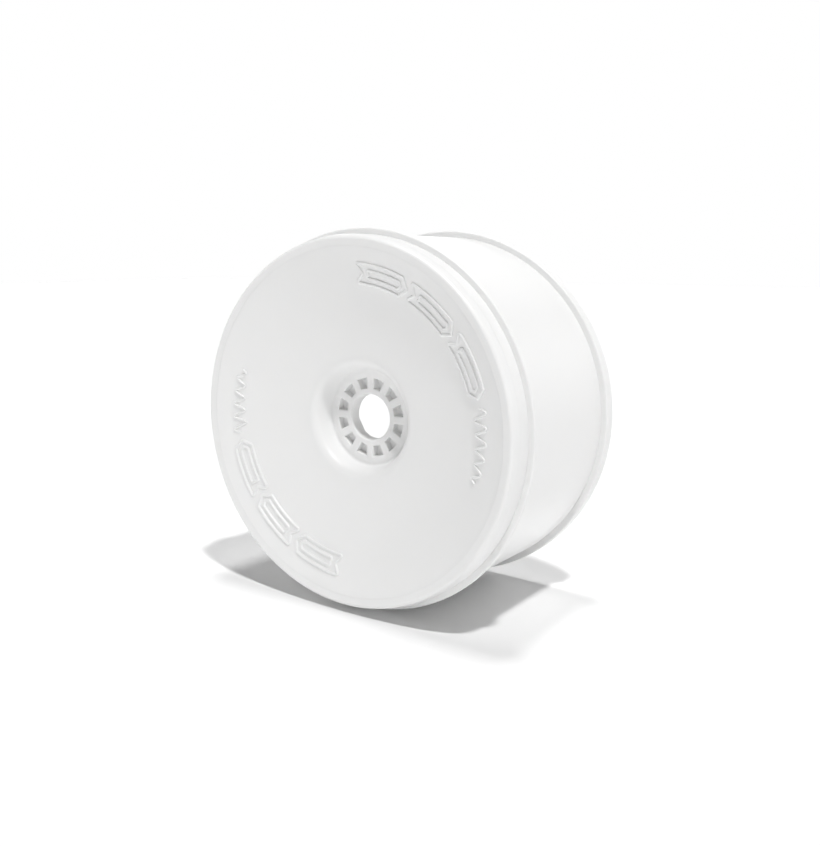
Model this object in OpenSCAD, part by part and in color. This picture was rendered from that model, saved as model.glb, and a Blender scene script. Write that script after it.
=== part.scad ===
// Dish wheel for a 1/8 scale radio-controlled racing truck.
// Each shape is drawn with the axle along Z and the front face up.
// upright() then stands it on its rim: front towards -Y, axle along Y.

/* [Wheel] */
// Diameter over the bead ridge and the rear rim
wheel_d = 100; // [98:1:104]
// Width from the front nose to the rear edge
wheel_w = 54; // [52:1:58]
// Thickness of the moulded walls
wall = 2; // [1.6:0.1:2.4]

/* [Front rim] */
// Diameter of the front bead seat
seat_d = 96.8; // [96:0.2:97]
// Rounding of the nose in front of the bead seat
nose_round = 0.9; // [0.6:0.1:1.4]
// Distance from the nose to the step behind the bead seat
seat_depth = 7; // [6:0.5:8]
// Thickness of the raised ridge behind the bead seat
ridge_w = 2; // [1.6:0.1:2.6]

/* [Barrel and rear rim] */
// Outside diameter of the barrel
barrel_d = 96.6; // [96:0.2:97]
// Width of the rear rim, from its front wall to the rear edge
rear_rim_w = 4.4; // [4:0.2:6]
// Rounding of the outer corners of the ridge and the rim
rim_round = 0.6; // [0.4:0.1:0.8]

/* [Dish] */
// Diameter at which the dish meets the lip
dish_d = 90.8; // [90:0.2:92]
// Slope of the dish where it meets the hub recess, in degrees
dish_slope = 6.5; // [5:0.5:8]

/* [Hub] */
// Depth of the hub plate behind the nose
hub_depth = 12; // [11:0.5:13]
// Diameter of the hub plate at the foot of the recess wall
plate_d = 25.8; // [25.6:0.2:27]
// Thickness of the hub plate
plate_t = 3.6; // [3.4:0.2:5]
// Draft of the recess wall, in degrees
recess_draft = 20; // [15:1:24]
// Height of the straight part of the recess wall
recess_rise = 3.2; // [2.6:0.2:3.4]
// Rounding of the shoulder between the dish and the recess
shoulder_round = 3; // [2.6:0.2:3.4]
// Diameter of the axle bore
bore_d = 12.2; // [12.1:0.1:12.6]
// Distance across the flats of the drive hex
hex_af = 17.1; // [17.05:0.05:17.2]
// Depth of the drive hex
hex_depth = 4; // [4:0.5:8]

/* [Hub pockets] */
// Number of blind pockets round the bore
pocket_count = 12; // [8:1:12]
// Inner radius of the pockets
pocket_in = 7.5; // [7.3:0.1:7.8]
// Outer radius of the pockets
pocket_out = 10.7; // [10:0.1:11]
// Depth of the pockets
pocket_depth = 2; // [1.6:0.2:2.6]
// Width of the web between two pockets
pocket_web = 1.7; // [1.4:0.1:2]

/* [Ribs] */
// Number of ribs behind the dish
rib_count = 6; // [4:1:8]
// Thickness of each rib
rib_t = 1.8; // [1.4:0.1:2.4]
// Distance from the nose to the rear edge of a rib at the barrel
rib_reach = 13; // [11:1:16]

/* [Emblem] */
// Height of the raised emblems above the dish
relief_h = 0.4; // [0.2:0.1:0.6]
// Width of the raised outlines
relief_stroke = 0.9; // [0.8:0.1:1.1]
// Radius of the middle of the emblem band
relief_r = 38.5; // [38:0.5:39]
// Height of the emblem band along the radius
relief_band = 6; // [5.4:0.2:6.4]

/* [Hidden] */
RIBS = [for (i = [1 : rib_count]) str("web_rib_", i)];
FRONT_NODES = ["front_lip", "front_bead_seat", "front_bead_ridge"];
REAR_NODES = ["rim_barrel", "rear_bead_wall", "rear_rim_edge"];
HUB_NODES = ["dish_face", "hub_recess_wall", "hub_plate", "hub_boss", "hex_drive_socket"];
EMBLEMS = ["emblem_relief_upper", "emblem_relief_lower"];

$fn = 120;
white = [0.95, 0.95, 0.94];
half_w = wheel_w / 2;
ridge_r = wheel_d / 2;
seat_r = seat_d / 2;
barrel_r = barrel_d / 2;
barrel_in = barrel_r - wall;

// Depth of the lip in front of the bead seat
lip_depth = 2.6;
// Loss of radius along the lip, from the bead seat to the nose's rounding
lip_taper = 0.4;
// Thickness of the wall that the rear bead meets
rear_wall_t = 1.6;
// Rounding of the rear edge outside, and its chamfer inside
edge_round = 1.2;
edge_chamfer = 0.6;
// Distance of the dish's outer edge behind the nose
dish_set_back = 0.25;

// Heights along the axle, from the front nose down to the rear edge
nose_z = half_w;
lip_z = half_w - lip_depth;
step_z = half_w - seat_depth;
ridge_z = step_z - ridge_w;
rear_z = rear_rim_w - half_w;
rear_edge_z = rear_z - rear_wall_t;
plate_z = half_w - hub_depth;
plate_back = plate_z - plate_t;
boss_z = plate_back - hex_depth;

// Hub radii
plate_r = plate_d / 2;
boss_r = plate_r;
bore_r = bore_d / 2;
hex_wall_r = hex_af / 2 / cos(30) + 1;
foot_r = plate_r + wall / cos(recess_draft);

// Emblem: three chevrons, each with a smaller one inside, and a wave.
// Lengths run round the dish along the middle of the band.
chevron_count = 3;
chevron_start = 11;
chevron_pitch = 16.5;
chevron_length = 15;
chevron_point = 2.2;
chevron_inset = 1.5;
wave_start = 7;
wave_length = 18;
wave_count = 5;
wave_swing = relief_band / 3;

// Section of the recess wall, its shoulder and the dish, each tangent to the next.
// up_slope and up_draft are the unit normals of the dish's inner end and of the wall.
up_slope = [-sin(dish_slope), cos(dish_slope)];
up_draft = [-cos(recess_draft), sin(recess_draft)];
draft_top = [plate_r + recess_rise * tan(recess_draft), plate_z + recess_rise];
shoulder_c = draft_top - shoulder_round * up_draft;
dish_in = shoulder_c + shoulder_round * up_slope;
dish_out = [dish_d / 2, nose_z - dish_set_back];
dish_run = dish_out - dish_in;
dish_round = (dish_run * dish_run) / (2 * dish_run * up_slope);
dish_c = dish_in + dish_round * up_slope;

// Points along an arc about c from angle a0 to a1, in degrees
function arc(c, r, a0, a1, n = 6) =
    [for (i = [0 : n]) let (a = a0 + (a1 - a0) * i / n) c + r * [cos(a), sin(a)]];

// Angle at which a circle of radius r about the dish's centre of curvature reaches radius x
function dish_angle(r, x) = -acos((x - dish_c.x) / r);

// The dish's surface moved by off along its own normal
function dish_curve(off) =
    arc(dish_c, dish_round - off, dish_slope - 90, dish_angle(dish_round - off, dish_out.x), 16);

// The shoulder's surface moved by off along its own normal, from the wall to the dish
function shoulder_curve(off) =
    arc(shoulder_c, shoulder_round + off, 180 - recess_draft, 90 + dish_slope, 8);

// A point at radius r and angle a, in degrees
function polar(r, a) = r * [cos(a), sin(a)];

function reversed(points) = [for (i = [len(points) - 1 : -1 : 0]) points[i]];

module upright() {
    rotate([90, 0, 0]) children();
}

module turned(points) {
    color(white) upright() rotate_extrude() polygon(points);
}

// A band of wall between two heights, with the outer radius r
module ring(r, low, high) {
    turned([[barrel_in, low], [r, low], [r, high], [barrel_in, high]]);
}

// ---- Rim ----

module front_lip() {
    nose_c = [seat_r - lip_taper - nose_round, nose_z - nose_round];
    turned(concat(
        [[dish_out.x, lip_z], [seat_r, lip_z]],
        arc(nose_c, nose_round, 0, 90, 8),
        [dish_out]
    ));
}

module front_bead_seat() {
    ring(seat_r, step_z, lip_z);
}

module front_bead_ridge() {
    top_c = [ridge_r - rim_round, step_z - rim_round];
    low_c = [ridge_r - rim_round, ridge_z + rim_round];
    turned(concat(
        [[barrel_in, ridge_z]],
        arc(low_c, rim_round, -90, 0),
        arc(top_c, rim_round, 0, 90),
        [[barrel_in, step_z]]
    ));
}

module rim_barrel() {
    ring(barrel_r, rear_z, ridge_z);
}

// The front wall of the rear rim, against which the rear tyre bead sits
module rear_bead_wall() {
    corner_c = [ridge_r - rim_round, rear_z - rim_round];
    turned(concat(
        [[barrel_in, rear_edge_z], [ridge_r, rear_edge_z]],
        arc(corner_c, rim_round, 0, 90),
        [[barrel_in, rear_z]]
    ));
}

// The rounded edge that closes the rear rim
module rear_rim_edge() {
    edge_c = [ridge_r - edge_round, edge_round - half_w];
    turned(concat(
        [
            [barrel_in, rear_edge_z],
            [barrel_in, edge_chamfer - half_w],
            [barrel_in + edge_chamfer, -half_w]
        ],
        arc(edge_c, edge_round, -90, 0),
        [[ridge_r, rear_edge_z]]
    ));
}

// ---- Dish ----

module dish_face() {
    turned(concat(dish_curve(-wall), reversed(dish_curve(0))));
}

// ---- Hub ----

// The recess wall stands round the hub plate and widens into the shoulder
module hub_recess_wall() {
    turned(concat(
        [[plate_r, plate_back], [plate_r, plate_z]],
        shoulder_curve(0),
        reversed(shoulder_curve(-wall)),
        [[foot_r, plate_z], [foot_r, plate_back]]
    ));
}

// One blind pocket: a slice of ring with a web of even width left on either side
module pocket_outline() {
    in_a = asin(pocket_web / 2 / pocket_in);
    out_a = asin(pocket_web / 2 / pocket_out);
    pitch = 360 / pocket_count;
    polygon(concat(
        [for (i = [0 : 3]) polar(pocket_in, in_a + (pitch - 2 * in_a) * i / 3)],
        [for (i = [3 : -1 : 0]) polar(pocket_out, out_a + (pitch - 2 * out_a) * i / 3)]
    ));
}

module hub_plate() {
    color(white) upright() difference() {
        translate([0, 0, plate_back]) cylinder(r = plate_r, h = plate_t);
        translate([0, 0, plate_back - 1]) cylinder(r = bore_r, h = plate_t + 2);
        for (i = [0 : pocket_count - 1])
            rotate([0, 0, i * 360 / pocket_count])
                translate([0, 0, plate_z - pocket_depth])
                    linear_extrude(pocket_depth + 1) pocket_outline();
    }
}

module hub_boss() {
    color(white) upright() translate([0, 0, boss_z]) difference() {
        cylinder(r = boss_r, h = hex_depth);
        translate([0, 0, -1]) cylinder(r = hex_wall_r, h = hex_depth + 2);
    }
}

// The drive hex that slips over the axle's hex adaptor from behind
module hex_drive_socket() {
    color(white) upright() translate([0, 0, boss_z]) difference() {
        cylinder(r = hex_wall_r, h = hex_depth);
        translate([0, 0, -1]) cylinder(d = hex_af / cos(30), h = hex_depth + 2, $fn = 6);
    }
}

// ---- Ribs ----

// The space behind the dish, between the hub and the barrel, that a rib fills
module rib_section() {
    dish_back = dish_curve(-wall);
    polygon(concat(
        [[boss_r, boss_z], [boss_r, plate_back], [foot_r, plate_back], [foot_r, plate_z]],
        shoulder_curve(-wall),
        [for (i = [1 : len(dish_back) - 1]) dish_back[i]],
        [[dish_out.x, lip_z], [barrel_in, lip_z], [barrel_in, nose_z - rib_reach]]
    ));
}

module web_rib(index) {
    color(white) upright() rotate([0, 0, (index + 0.5) * 360 / rib_count]) intersection() {
        rotate_extrude() rib_section();
        translate([0, -rib_t / 2, -half_w]) cube([ridge_r, rib_t, wheel_w]);
    }
}

// ---- Emblems ----

// A point at radius r and at the length s along the middle of the emblem band
function on_band(r, s) = polar(r, s / relief_r * 180 / PI);

// Points round the band at radius r, from the length s0 to s1
function band_side(r, s0, s1) = [for (i = [0 : 4]) on_band(r, s0 + (s1 - s0) * i / 4)];

// A closed chevron from the length a to b along the band, with its sides moved in by the distance in
module chevron(a, b, in) {
    half = relief_band / 2;
    slope = chevron_point / half;
    reach = in * sqrt(1 + slope * slope);
    low = relief_r - half + in;
    high = relief_r + half - in;
    tail = a - slope * in + reach;
    tip = b - slope * in - reach;
    polygon(concat(
        band_side(high, tail, tip),
        [on_band(relief_r, b - chevron_point - reach)],
        band_side(low, tip, tail),
        [on_band(relief_r, a - chevron_point + reach)]
    ));
}

// A raised outline of a chevron
module chevron_outline(a, b, in) {
    difference() {
        chevron(a, b, in);
        chevron(a, b, in + relief_stroke);
    }
}

// A wavy line that runs the other way, whose swing fades to half
module wave() {
    steps = 60;
    function wave_r(t) = relief_r + wave_swing * (1 - t / 2) * sin(360 * wave_count * t);
    function at(t, off) = on_band(wave_r(t) + off, wave_start - wave_length * t);
    polygon(concat(
        [for (i = [0 : steps]) at(i / steps, relief_stroke / 2)],
        [for (i = [steps : -1 : 0]) at(i / steps, -relief_stroke / 2)]
    ));
}

module emblem_outline() {
    for (i = [0 : chevron_count - 1]) {
        a = chevron_start + i * chevron_pitch;
        chevron_outline(a, a + chevron_length, 0);
        chevron_outline(a, a + chevron_length, chevron_inset);
    }
    wave();
}

// The emblem stands up from the dish by an even height
module emblem_relief(turn) {
    skin = concat(dish_curve(0), reversed(dish_curve(relief_h)));
    color(white) upright() intersection() {
        rotate_extrude() polygon(skin);
        rotate([0, 0, turn]) linear_extrude(wheel_w) emblem_outline();
    }
}

front_lip();
front_bead_seat();
front_bead_ridge();
rim_barrel();
rear_bead_wall();
rear_rim_edge();
dish_face();
hub_recess_wall();
hub_plate();
hub_boss();
hex_drive_socket();
for (i = [0 : rib_count - 1])
    web_rib(i);
emblem_relief(0);  // emblem_relief_upper
emblem_relief(180);  // emblem_relief_lower
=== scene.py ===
"""Looks of a bare moulded dish wheel, stood on its rim on a pale floor.

The axle runs along Y and the front dish faces -Y. Outlines are lists of (radius, y) in millimetres,
and every mesh is made in metres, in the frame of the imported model.
"""
import math

import bmesh
import bpy
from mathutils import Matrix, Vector


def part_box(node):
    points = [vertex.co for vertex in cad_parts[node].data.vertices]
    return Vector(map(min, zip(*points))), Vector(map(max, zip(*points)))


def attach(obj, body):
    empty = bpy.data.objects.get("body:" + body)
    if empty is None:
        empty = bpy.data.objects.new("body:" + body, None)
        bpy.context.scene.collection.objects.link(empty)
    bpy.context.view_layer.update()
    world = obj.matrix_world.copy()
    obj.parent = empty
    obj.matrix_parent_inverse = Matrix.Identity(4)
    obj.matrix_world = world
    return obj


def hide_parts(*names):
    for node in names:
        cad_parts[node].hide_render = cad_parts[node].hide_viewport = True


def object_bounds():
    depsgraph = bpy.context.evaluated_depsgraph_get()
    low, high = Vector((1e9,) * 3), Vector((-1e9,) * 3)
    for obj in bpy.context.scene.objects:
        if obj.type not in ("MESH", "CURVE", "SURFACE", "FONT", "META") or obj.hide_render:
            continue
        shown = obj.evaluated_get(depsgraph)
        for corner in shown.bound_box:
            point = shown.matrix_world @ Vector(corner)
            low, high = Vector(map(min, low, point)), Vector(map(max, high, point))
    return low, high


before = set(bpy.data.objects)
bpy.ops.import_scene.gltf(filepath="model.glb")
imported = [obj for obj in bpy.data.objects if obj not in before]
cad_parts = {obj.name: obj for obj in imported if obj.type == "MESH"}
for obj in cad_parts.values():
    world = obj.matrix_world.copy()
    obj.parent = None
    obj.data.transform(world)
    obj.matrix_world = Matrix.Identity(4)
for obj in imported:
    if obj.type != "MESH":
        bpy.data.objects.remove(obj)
CAD_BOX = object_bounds()
MM = 0.001


# ---- Places, from the frame ----

def span(node):
    """A node's lowest y, highest y and outer radius, in millimetres."""
    low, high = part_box(node)
    return low.y / MM, high.y / MM, max(high.x, high.z, -low.x, -low.z) / MM


NOSE_Y, LIP_Y, SEAT_R = span("front_lip")
_, STEP_Y, _ = span("front_bead_seat")
_, RIDGE_Y, RIDGE_R = span("front_bead_ridge")
_, REAR_Y, BARREL_R = span("rim_barrel")
_, EDGE_Y, _ = span("rear_bead_wall")
_, BACK_Y, _ = span("rear_rim_edge")
_, _, DISH_R = span("dish_face")
PLATE_Y, PLATE_BACK_Y, PLATE_R = span("hub_plate")
_, BOSS_Y, _ = span("hub_boss")
_, _, HEX_WALL_R = span("hex_drive_socket")
RIB_NODES = sorted(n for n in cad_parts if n.startswith("web_rib_"))

WALL = 2.0
BARREL_IN = BARREL_R - WALL
NOSE_ROUND = 0.9
LIP_TAPER = 0.4
BORE_R = 6.1
HEX_FLATS = 17.1
RIB_T = 1.8
RIB_REACH = 13.0

# Section of the hub recess and the dish, each tangent to the next, as (radius, y)
DISH_SLOPE = math.radians(6.5)
DRAFT = math.radians(20)
RECESS_RISE = 3.2
SHOULDER_ROUND = 3.0
FOOT_ROUND = 0.8
DISH_SET_BACK = 0.25
FOOT_R = PLATE_R + WALL / math.cos(DRAFT)


class Arc:
    """An arc in the section plane: its centre, radius and the angles of its ends, in radians."""

    def __init__(self, centre, radius, start, end):
        self.centre, self.radius, self.start, self.end = Vector(centre), radius, start, end

    def points(self, steps, off=0.0):
        """Points along the arc, its radius made larger by off."""
        angles = [self.start + (self.end - self.start) * i / steps for i in range(steps + 1)]
        r = self.radius + off
        return [(self.centre.x + r * math.cos(a), self.centre.y + r * math.sin(a)) for a in angles]


# The normals below point out of the front surface, towards -Y
SLOPE_NORMAL = Vector((-math.sin(DISH_SLOPE), -math.cos(DISH_SLOPE)))
DRAFT_NORMAL = Vector((-math.cos(DRAFT), -math.sin(DRAFT)))
WALL_TOP = Vector((PLATE_R + RECESS_RISE * math.tan(DRAFT), PLATE_Y - RECESS_RISE))
SLOPE_ANGLE = -math.pi / 2 - DISH_SLOPE
SHOULDER_CENTRE = WALL_TOP - SHOULDER_ROUND * DRAFT_NORMAL
SHOULDER = Arc(SHOULDER_CENTRE, SHOULDER_ROUND, DRAFT - math.pi, SLOPE_ANGLE)
# A small rounding between the wall's foot and the plate
FOOT_REACH = FOOT_ROUND * (1 - math.sin(DRAFT)) / math.cos(DRAFT)
FOOT = Arc((PLATE_R - FOOT_REACH, PLATE_Y - FOOT_ROUND), FOOT_ROUND, math.pi / 2, DRAFT)
DISH_IN = SHOULDER_CENTRE + SHOULDER_ROUND * SLOPE_NORMAL
DISH_OUT = Vector((DISH_R, NOSE_Y + DISH_SET_BACK))
DISH_RUN = DISH_OUT - DISH_IN
DISH_ROUND = DISH_RUN.length_squared / (2 * DISH_RUN.dot(SLOPE_NORMAL))
DISH_CENTRE = DISH_IN + DISH_ROUND * SLOPE_NORMAL


def dish_points(off=0.0, steps=40):
    """The dish's front surface from the shoulder to the lip, moved back by off along its normal."""
    r = DISH_ROUND + off
    start = math.pi / 2 - DISH_SLOPE
    end = math.acos((DISH_R - DISH_CENTRE.x) / r)
    return Arc(DISH_CENTRE, r, start, end).points(steps)


def dish_y(radius):
    """Where the dish's front surface is at a radius."""
    return DISH_CENTRE.y + math.sqrt(DISH_ROUND ** 2 - (radius - DISH_CENTRE.x) ** 2)


# ---- Mesh helpers ----

# Largest turn between two points of a rounded corner, and between two faces that shade as one
CORNER_STEP = math.radians(9)
SMOOTH_TURN = math.radians(28)
TURN_STEPS = 288
TURN_ANGLES = [2 * math.pi * i / TURN_STEPS for i in range(TURN_STEPS)]


def rounded(corners):
    """A closed outline from (x, y, rounding) corners, each turned into an arc of that radius."""
    points = []
    count = len(corners)
    for i, (x, y, rounding) in enumerate(corners):
        here = Vector((x, y))
        if rounding == 0:
            points.append((x, y))
            continue
        before = (Vector(corners[i - 1][:2]) - here).normalized()
        after = (Vector(corners[(i + 1) % count][:2]) - here).normalized()
        half = before.angle(after) / 2
        centre = here + (before + after).normalized() * rounding / math.sin(half)
        start = here + before * rounding / math.tan(half) - centre
        end = here + after * rounding / math.tan(half) - centre
        turn = start.angle(end)
        steps = max(4, math.ceil(turn / CORNER_STEP))
        for k in range(steps + 1):
            near, far = math.sin((1 - k / steps) * turn), math.sin(k / steps * turn)
            points.append(tuple(centre + (near * start + far * end) / math.sin(turn)))
    return points


def finish_mesh(node, bm, material):
    """Turns a bmesh in millimetres into a shaded piece that stands for its CAD node."""
    name = node + "_moulding"
    bmesh.ops.remove_doubles(bm, verts=bm.verts, dist=1e-5)
    bmesh.ops.recalc_face_normals(bm, faces=bm.faces)
    bmesh.ops.scale(bm, vec=(MM, MM, MM), verts=bm.verts)
    mesh = bpy.data.meshes.new(name)
    bm.to_mesh(mesh)
    bm.free()
    mesh.materials.append(material)
    mesh.shade_smooth()
    mesh.set_sharp_from_angle(angle=SMOOTH_TURN)
    piece = bpy.data.objects.new(name, mesh)
    bpy.context.scene.collection.objects.link(piece)
    weighted = piece.modifiers.new("even_shading", "WEIGHTED_NORMAL")
    weighted.weight = 100
    weighted.keep_sharp = True
    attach(piece, "root")
    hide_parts(node)


def join_rings(bm, rings, closed):
    """Quads between neighbouring rings of vertices, and between the last and first if closed."""
    pairs = list(zip(rings, rings[1:]))
    if closed:
        pairs.append((rings[-1], rings[0]))
    for a, b in pairs:
        for i in range(len(a)):
            j = (i + 1) % len(a)
            bm.faces.new((a[i], a[j], b[j], b[i]))


def polar(bm, radius, angle, y):
    return bm.verts.new((radius * math.cos(angle), y, radius * math.sin(angle)))


def lathe(node, outline, material):
    """A closed (radius, y) outline turned about the axle."""
    bm = bmesh.new()
    rings = [[polar(bm, radius, a, y) for a in TURN_ANGLES] for radius, y in outline]
    join_rings(bm, rings, True)
    finish_mesh(node, bm, material)


# ---- Materials ----

def nylon(slot, tone, rough, grain, ripple):
    """White satin nylon, slightly translucent, with fine mould grain and faint sink ripple."""
    material = bpy.data.materials.new("nylon_" + slot)
    material["slot"] = slot
    material.use_nodes = True
    nodes, links = material.node_tree.nodes, material.node_tree.links
    shader = nodes["Principled BSDF"]
    place = nodes.new("ShaderNodeTexCoord")

    def noise(scale, detail):
        node = nodes.new("ShaderNodeTexNoise")
        node.inputs["Scale"].default_value = scale
        node.inputs["Detail"].default_value = detail
        links.new(place.outputs["Object"], node.inputs["Vector"])
        return node.outputs["Fac"]

    cloud = noise(28, 3)
    speck = noise(900, 2)
    tint = nodes.new("ShaderNodeValToRGB")
    tint.color_ramp.elements[0].color = (tone - 0.012, tone - 0.012, tone - 0.017, 1)
    tint.color_ramp.elements[1].color = (tone + 0.008, tone + 0.008, tone + 0.006, 1)
    links.new(cloud, tint.inputs["Fac"])
    links.new(tint.outputs["Color"], shader.inputs["Base Color"])

    shine = nodes.new("ShaderNodeMapRange")
    shine.inputs["To Min"].default_value = rough - 0.05
    shine.inputs["To Max"].default_value = rough + 0.05
    links.new(speck, shine.inputs["Value"])
    links.new(shine.outputs["Result"], shader.inputs["Roughness"])

    fine = nodes.new("ShaderNodeBump")
    fine.inputs["Strength"].default_value = 0.25
    fine.inputs["Distance"].default_value = grain * MM
    links.new(noise(2200, 2), fine.inputs["Height"])
    wide = nodes.new("ShaderNodeBump")
    wide.inputs["Strength"].default_value = 0.5
    wide.inputs["Distance"].default_value = ripple * MM
    links.new(noise(60, 1), wide.inputs["Height"])
    links.new(fine.outputs["Normal"], wide.inputs["Normal"])
    links.new(wide.outputs["Normal"], shader.inputs["Normal"])

    shader.inputs["IOR"].default_value = 1.5
    shader.inputs["Subsurface Weight"].default_value = 0.12
    shader.inputs["Subsurface Radius"].default_value = (1.0, 0.95, 0.9)
    shader.inputs["Subsurface Scale"].default_value = 1.2 * MM
    return material


RIM = nylon("white_rim", 0.86, 0.34, 0.02, 0.03)
DISH = nylon("white_dish", 0.86, 0.42, 0.03, 0.04)
HUB = nylon("white_hub", 0.84, 0.46, 0.03, 0.02)
RIBS = nylon("white_ribs", 0.84, 0.5, 0.04, 0.03)
RELIEF = nylon("white_relief", 0.86, 0.4, 0.02, 0.01)


# ---- Rim ----

def arc_about(x, y, radius, start, end, steps=12):
    """Points on an arc about (x, y), angles in degrees."""
    return Arc((x, y), radius, math.radians(start), math.radians(end)).points(steps)


def make_rim():
    nose_x, nose_y = SEAT_R - LIP_TAPER - NOSE_ROUND, NOSE_Y + NOSE_ROUND
    lip = [(DISH_R, LIP_Y), tuple(DISH_OUT)]
    lip += arc_about(nose_x, nose_y, NOSE_ROUND, -90, 0, 18)
    lip += [(SEAT_R, LIP_Y)]
    lathe("front_lip", lip, RIM)

    seat = [(BARREL_IN, LIP_Y), (SEAT_R, LIP_Y), (SEAT_R, STEP_Y), (BARREL_IN, STEP_Y)]
    lathe("front_bead_seat", seat, RIM)

    ridge = rounded([
        (BARREL_IN, STEP_Y, 0), (RIDGE_R, STEP_Y, 0.45),
        (RIDGE_R, RIDGE_Y, 0.7), (BARREL_IN, RIDGE_Y, 0),
    ])
    lathe("front_bead_ridge", ridge, RIM)

    barrel = [(BARREL_IN, RIDGE_Y), (BARREL_R, RIDGE_Y), (BARREL_R, REAR_Y), (BARREL_IN, REAR_Y)]
    lathe("rim_barrel", barrel, RIM)

    wall = rounded([
        (BARREL_IN, REAR_Y, 0), (RIDGE_R, REAR_Y, 0.45),
        (RIDGE_R, EDGE_Y, 0), (BARREL_IN, EDGE_Y, 0),
    ])
    lathe("rear_bead_wall", wall, RIM)

    edge = rounded([
        (BARREL_IN, EDGE_Y, 0), (RIDGE_R, EDGE_Y, 0),
        (RIDGE_R, BACK_Y, 1.2), (BARREL_IN, BACK_Y, 0.6),
    ])
    lathe("rear_rim_edge", edge, RIM)


# ---- Dish and hub ----

def make_dish():
    front = dish_points()
    back = dish_points(WALL)
    lathe("dish_face", front + back[::-1], DISH)
    wall = [(PLATE_R, PLATE_BACK_Y), (PLATE_R, PLATE_Y)]
    wall += FOOT.points(12) + SHOULDER.points(28) + SHOULDER.points(14, -WALL)[::-1]
    wall += [(FOOT_R, PLATE_Y), (FOOT_R, PLATE_BACK_Y)]
    lathe("hub_recess_wall", wall, DISH)


POCKETS = 12
SECTOR = 2 * math.pi / POCKETS
POCKET_IN = 7.5
POCKET_OUT = 10.7
POCKET_DEPTH = 2.0
POCKET_WEB = 1.7
POCKET_SIDE_STEPS = 20
POCKET_RADIAL_STEPS = 6
WEB_STEPS = 4
BORE_BEVEL = 0.5
# Section of a pocket's wall: how far in from its outline, and how deep
POCKET_WALL = [
    (0, 0), (0.08, 0.03), (0.18, 0.12), (0.22, 0.26),
    (0.3, POCKET_DEPTH - 0.25), (0.35, POCKET_DEPTH - 0.08), (0.5, POCKET_DEPTH),
]


def pocket_side(radius, inset):
    """Angle from a web's middle to the side of a pocket drawn inset by a distance."""
    return math.asin((POCKET_WEB / 2 + inset) / radius)


def pocket_loop(bm, first, inset, y):
    """The vertices round one pocket, whose sector starts at the angle first."""
    low, high = POCKET_IN + inset, POCKET_OUT - inset
    loop = []

    def add(radius, t):
        side = pocket_side(radius, inset)
        loop.append(polar(bm, radius, first + side + (SECTOR - 2 * side) * t, y))

    for i in range(POCKET_SIDE_STEPS):
        add(low, i / POCKET_SIDE_STEPS)
    for i in range(POCKET_RADIAL_STEPS):
        add(low + (high - low) * i / POCKET_RADIAL_STEPS, 1)
    for i in range(POCKET_SIDE_STEPS):
        add(high, 1 - i / POCKET_SIDE_STEPS)
    for i in range(POCKET_RADIAL_STEPS):
        add(high + (low - high) * i / POCKET_RADIAL_STEPS, 0)
    return loop


def sector_angles(radius):
    """Angles across one sector at a radius: over the web, then over the pocket."""
    side = pocket_side(min(max(radius, POCKET_IN), POCKET_OUT), 0)
    width = SECTOR - 2 * side
    angles = [-side + 2 * side * i / WEB_STEPS for i in range(WEB_STEPS)]
    return angles + [side + width * i / POCKET_SIDE_STEPS for i in range(POCKET_SIDE_STEPS + 1)]


def ring_angles(radius):
    """The angles of all the sectors, each without its last, which the next one starts with."""
    return [k * SECTOR + a for k in range(POCKETS) for a in sector_angles(radius)[:-1]]


def make_hub_plate():
    """The plate: a face of sectors with pockets let into it, then the bore, back and edge."""
    bm = bmesh.new()
    bore_edge = BORE_R + BORE_BEVEL
    pocket_step = (POCKET_OUT - POCKET_IN) / POCKET_RADIAL_STEPS
    radii = [bore_edge]
    radii += [POCKET_IN + pocket_step * i for i in range(POCKET_RADIAL_STEPS + 1)]
    radii += [PLATE_R]
    for sector in range(POCKETS):
        first = sector * SECTOR
        rows = [[polar(bm, r, first + a, PLATE_Y) for a in sector_angles(r)] for r in radii]
        for i, (row, above) in enumerate(zip(rows, rows[1:])):
            beside_pocket = 0 < i < len(radii) - 2
            count = WEB_STEPS if beside_pocket else len(row) - 1
            for j in range(count):
                bm.faces.new((row[j], row[j + 1], above[j + 1], above[j]))
        loops = [pocket_loop(bm, first, inset, PLATE_Y + depth) for inset, depth in POCKET_WALL]
        join_rings(bm, loops, False)
        bm.faces.new(loops[-1])

    front_edge = Arc((bore_edge, PLATE_Y + BORE_BEVEL), BORE_BEVEL, -math.pi / 2, -math.pi)
    bore = front_edge.points(6)
    bore += [
        (BORE_R, PLATE_BACK_Y - 0.2), (BORE_R + 0.06, PLATE_BACK_Y - 0.06), (bore_edge, PLATE_BACK_Y),
    ]
    inner, outer = ring_angles(POCKET_IN), ring_angles(POCKET_OUT)
    rings = [[polar(bm, r, a, y) for a in inner] for r, y in bore]
    rings += [[polar(bm, PLATE_R, a, y) for a in outer] for y in (PLATE_BACK_Y, PLATE_Y)]
    join_rings(bm, rings, False)
    finish_mesh("hub_plate", bm, HUB)


def make_hub_boss():
    boss = rounded([
        (HEX_WALL_R, PLATE_BACK_Y, 0), (PLATE_R, PLATE_BACK_Y, 0),
        (PLATE_R, BOSS_Y, 0.5), (HEX_WALL_R, BOSS_Y, 0),
    ])
    lathe("hub_boss", boss, HUB)


def hexagon(angle, flats, rounding):
    """Radius at an angle of a hexagon with softened corners, one of them on +X."""
    turn = angle % (math.pi / 3) - math.pi / 6
    corner = flats / 2 / math.cos(math.pi / 6)
    return min(flats / 2 / math.cos(turn), corner - rounding)


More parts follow.
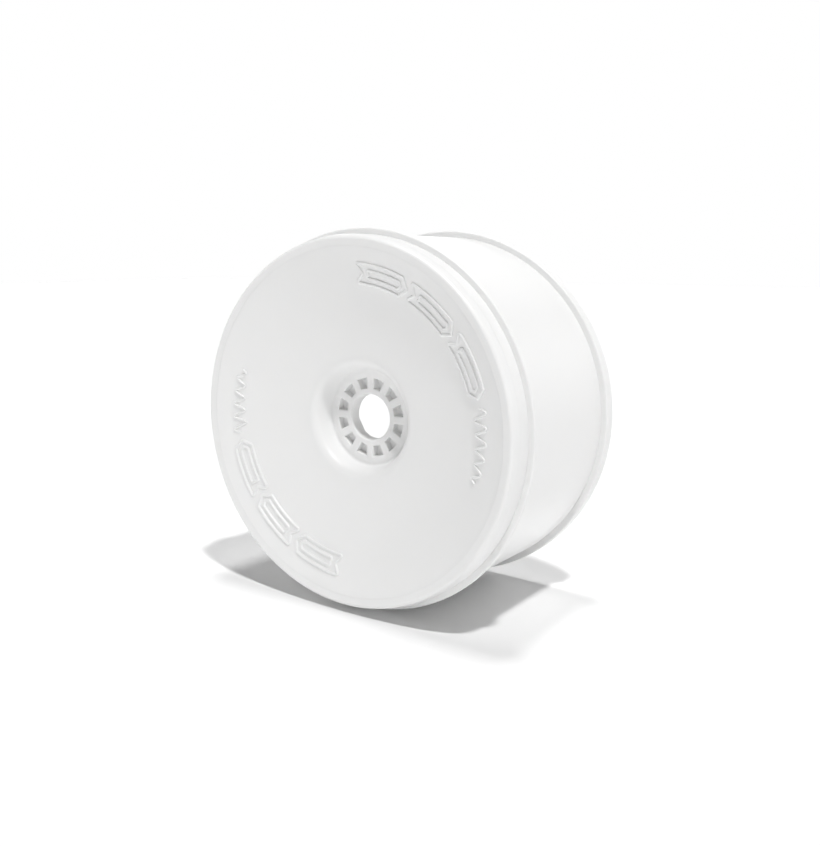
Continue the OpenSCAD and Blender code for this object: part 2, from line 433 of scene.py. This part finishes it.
def make_hex_socket():
    """The ring with the drive hex inside and a small lead-in at its rear mouth."""
    bm = bmesh.new()
    corner_cut = 0.25
    lead = 0.4
    walls = [(0, PLATE_BACK_Y), (0, BOSS_Y - lead), (lead / 2, BOSS_Y - lead / 3), (lead, BOSS_Y)]
    rings = []
    for wide, y in walls:
        flats = HEX_FLATS + 2 * wide
        rings.append([polar(bm, hexagon(a, flats, corner_cut), a, y) for a in TURN_ANGLES])
    rings += [[polar(bm, HEX_WALL_R, a, y) for a in TURN_ANGLES] for y in (BOSS_Y, PLATE_BACK_Y)]
    join_rings(bm, rings, True)
    finish_mesh("hex_drive_socket", bm, HUB)


# ---- Ribs ----

def make_rib(node):
    """One radial rib: the space behind the dish, drawn as a slab with a rounded rear edge."""
    low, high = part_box(node)
    middle = (low + high) / 2
    turn = math.atan2(middle.z, middle.x)
    shoulder_back = SHOULDER.points(10, -WALL)
    dish_back = dish_points(WALL, 24)
    front = [(PLATE_R, PLATE_BACK_Y), (FOOT_R, PLATE_BACK_Y), (FOOT_R, PLATE_Y)]
    front += shoulder_back + dish_back[1:]
    front += [(DISH_R, LIP_Y), (BARREL_IN, LIP_Y)]
    rear = [(BARREL_IN, NOSE_Y + RIB_REACH), (PLATE_R, BOSS_Y)]
    bm = bmesh.new()
    half = RIB_T / 2
    soft = 0.5
    mid = 0.15
    layers = [
        (-half, soft), (-half + mid, mid), (-half + soft, 0),
        (half - soft, 0), (half - mid, mid), (half, soft),
    ]
    c, s = math.cos(turn), math.sin(turn)
    rings = []
    for across, drop in layers:
        outline = front + [(r, y - drop) for r, y in rear]
        places = [(r * c - across * s, y, r * s + across * c) for r, y in outline]
        rings.append([bm.verts.new(place) for place in places])
    join_rings(bm, rings, False)
    bm.faces.new(rings[0])
    bm.faces.new(rings[-1])
    finish_mesh(node, bm, RIBS)


# ---- Emblems ----

RELIEF_R = 38.5
RELIEF_BAND = 6.0
RELIEF_H = 0.4
RELIEF_STROKE = 0.9
CHEVRON_COUNT = 3
CHEVRON_START = 11
CHEVRON_PITCH = 16.5
CHEVRON_LENGTH = 15
CHEVRON_POINT = 2.2
CHEVRON_INSET = 1.5
CHEVRON_ROUND = 0.45
BAND_STEP = 0.6
WAVE_START = 7
WAVE_LENGTH = 18
WAVE_COUNT = 5
WAVE_SWING = RELIEF_BAND / 3
# Section of a raised line: place across it and height, both as shares of its width and height
BEAD_SIDE = [(0.22, 0.92), (0.38, 0.55), (0.5, 0.1), (0.5, -0.3)]
BEAD = [(-across, up) for across, up in reversed(BEAD_SIDE)] + [(0, 1)] + BEAD_SIDE


def raised_line(bm, path, width, closed):
    """A bead of the given width along a path of (x, z) points, laid on the dish's surface."""
    count = len(path)
    rings = []
    for i, point in enumerate(path):
        here = Vector(point)
        before = Vector(path[(i - 1) % count]) if closed or i > 0 else here
        after = Vector(path[(i + 1) % count]) if closed or i < count - 1 else here
        out = (after - here).normalized() if after != here else (here - before).normalized()
        into = (here - before).normalized() if before != here else out
        along = (into + out).normalized()
        side = Vector((-along.y, along.x))
        stretch = 1 / max(0.4, side.dot(Vector((-out.y, out.x))))
        ring = []
        for share, lift in BEAD:
            at = here + side * share * width * stretch
            radius = at.length
            ring.append(bm.verts.new((at.x, dish_y(radius) - lift * RELIEF_H, at.y)))
        rings.append(ring)
    join_rings(bm, rings, closed)
    if not closed:
        bm.faces.new(rings[0])
        bm.faces.new(rings[-1])


def on_band(radius, length):
    """The (x, z) point at a radius and at a length along the middle of the emblem band."""
    a = length / RELIEF_R
    return (radius * math.cos(a), radius * math.sin(a))


def chevron(a, b, inset):
    """A closed path round a chevron from length a to b along the band, its sides moved in."""
    half = RELIEF_BAND / 2
    slope = CHEVRON_POINT / half
    reach = inset * math.sqrt(1 + slope * slope)
    low, high = RELIEF_R - half + inset, RELIEF_R + half - inset
    tail, tip = a - slope * inset + reach, b - slope * inset - reach
    corners = [
        (tail, low), (a - CHEVRON_POINT + reach, RELIEF_R), (tail, high),
        (tip, high), (b - CHEVRON_POINT - reach, RELIEF_R), (tip, low),
    ]
    outline = rounded([(s, r, CHEVRON_ROUND) for s, r in corners])
    path = []
    for (s0, r0), (s1, r1) in zip(outline, outline[1:] + outline[:1]):
        steps = max(1, round(abs(s1 - s0) / BAND_STEP))
        for i in range(steps):
            path.append(on_band(r0 + (r1 - r0) * i / steps, s0 + (s1 - s0) * i / steps))
    return path


def make_emblem(node, turn):
    """Nested chevron outlines in a row and a fading wave, set round the dish."""
    bm = bmesh.new()

    def turned(path):
        c, s = math.cos(turn), math.sin(turn)
        return [(x * c - z * s, x * s + z * c) for x, z in path]

    for i in range(CHEVRON_COUNT):
        a = CHEVRON_START + i * CHEVRON_PITCH
        for inset in (0, CHEVRON_INSET):
            path = chevron(a, a + CHEVRON_LENGTH, inset + RELIEF_STROKE / 2)
            raised_line(bm, turned(path), RELIEF_STROKE, True)
    steps = 160
    wave = []
    for i in range(steps + 1):
        t = i / steps
        swing = WAVE_SWING * (1 - t / 2) * math.sin(2 * math.pi * WAVE_COUNT * t)
        wave.append(on_band(RELIEF_R + swing, WAVE_START - WAVE_LENGTH * t))
    raised_line(bm, turned(wave), RELIEF_STROKE * 0.8, False)
    finish_mesh(node, bm, RELIEF)


# ---- Stage, light and camera ----

def make_stage():
    low = CAD_BOX[0]
    floor_z = low[2]
    bpy.ops.mesh.primitive_plane_add(size=6, location=(0, 0, floor_z))
    floor = bpy.context.object
    floor.name = "floor"
    paint = bpy.data.materials.new("floor_white")
    paint.use_nodes = True
    shader = paint.node_tree.nodes["Principled BSDF"]
    shader.inputs["Base Color"].default_value = (0.93, 0.93, 0.93, 1)
    shader.inputs["Roughness"].default_value = 0.7
    floor.data.materials.append(paint)


def towards(azimuth, height):
    """The unit vector at an azimuth and height in degrees. Azimuth 0 is -Y."""
    a, e = math.radians(azimuth), math.radians(height)
    return Vector((math.sin(a) * math.cos(e), -math.cos(a) * math.cos(e), math.sin(e)))


def sun(name, azimuth, height, spread, strength):
    """A distant soft lamp at an azimuth and height, whose disc is spread degrees across."""
    light = bpy.data.lights.new(name, "SUN")
    light.angle = math.radians(spread)
    light.energy = strength
    lamp = bpy.data.objects.new(name, light)
    lamp.rotation_euler = (-towards(azimuth, height)).to_track_quat("-Z", "Y").to_euler()
    bpy.context.scene.collection.objects.link(lamp)


WALLS = 1.0
CEILING = 0.0


def make_world():
    """A white cove all round, bright up to about 15 degrees above the floor and dark overhead."""
    world = bpy.data.worlds.new("studio")
    world.use_nodes = True
    nodes, links = world.node_tree.nodes, world.node_tree.links
    place = nodes.new("ShaderNodeTexCoord")
    split = nodes.new("ShaderNodeSeparateXYZ")
    links.new(place.outputs["Generated"], split.inputs["Vector"])
    ramp = nodes.new("ShaderNodeValToRGB")
    ramp.color_ramp.interpolation = "EASE"
    ramp.color_ramp.elements[0].position = math.sin(math.radians(15.5))
    ramp.color_ramp.elements[0].color = (WALLS, WALLS, WALLS, 1)
    ramp.color_ramp.elements[1].position = math.sin(math.radians(24))
    ramp.color_ramp.elements[1].color = (CEILING, CEILING, CEILING, 1)
    links.new(split.outputs["Z"], ramp.inputs["Fac"])
    links.new(ramp.outputs["Color"], nodes["Background"].inputs["Color"])
    bpy.context.scene.world = world


def make_lights():
    make_world()
    sun("key", 52, 65, 4, 1.9)
    sun("overhead", 205, 86, 12, 1.35)
    sun("back_fill", 200, 25, 50, 0.45)


CAMERA_AZIMUTH = 33.47
CAMERA_HEIGHT = 8.99
CAMERA_DISTANCE = 0.2694
CAMERA_PAN = 5.47
CAMERA_TILT = -3.96
CAMERA_LENS = 40.9
CAMERA_SHIFT = (0.118, -0.0946)


def make_camera():
    data = bpy.data.cameras.new("camera")
    data.lens = CAMERA_LENS
    data.sensor_width = 36
    data.shift_x, data.shift_y = CAMERA_SHIFT
    data.clip_start = 0.01
    camera = bpy.data.objects.new("camera", data)
    camera.location = towards(CAMERA_AZIMUTH, CAMERA_HEIGHT) * CAMERA_DISTANCE
    aim = -towards(CAMERA_AZIMUTH + CAMERA_PAN, CAMERA_HEIGHT + CAMERA_TILT)
    camera.rotation_euler = aim.to_track_quat("-Z", "Y").to_euler()
    bpy.context.scene.collection.objects.link(camera)
    bpy.context.scene.camera = camera


make_camera()
make_rim()
make_dish()
make_hub_plate()
make_hub_boss()
make_hex_socket()
for rib_node in RIB_NODES:
    make_rib(rib_node)
make_emblem("emblem_relief_upper", 0)
make_emblem("emblem_relief_lower", math.pi)
make_stage()
make_lights()

bpy.context.scene.view_settings.view_transform = "Standard"
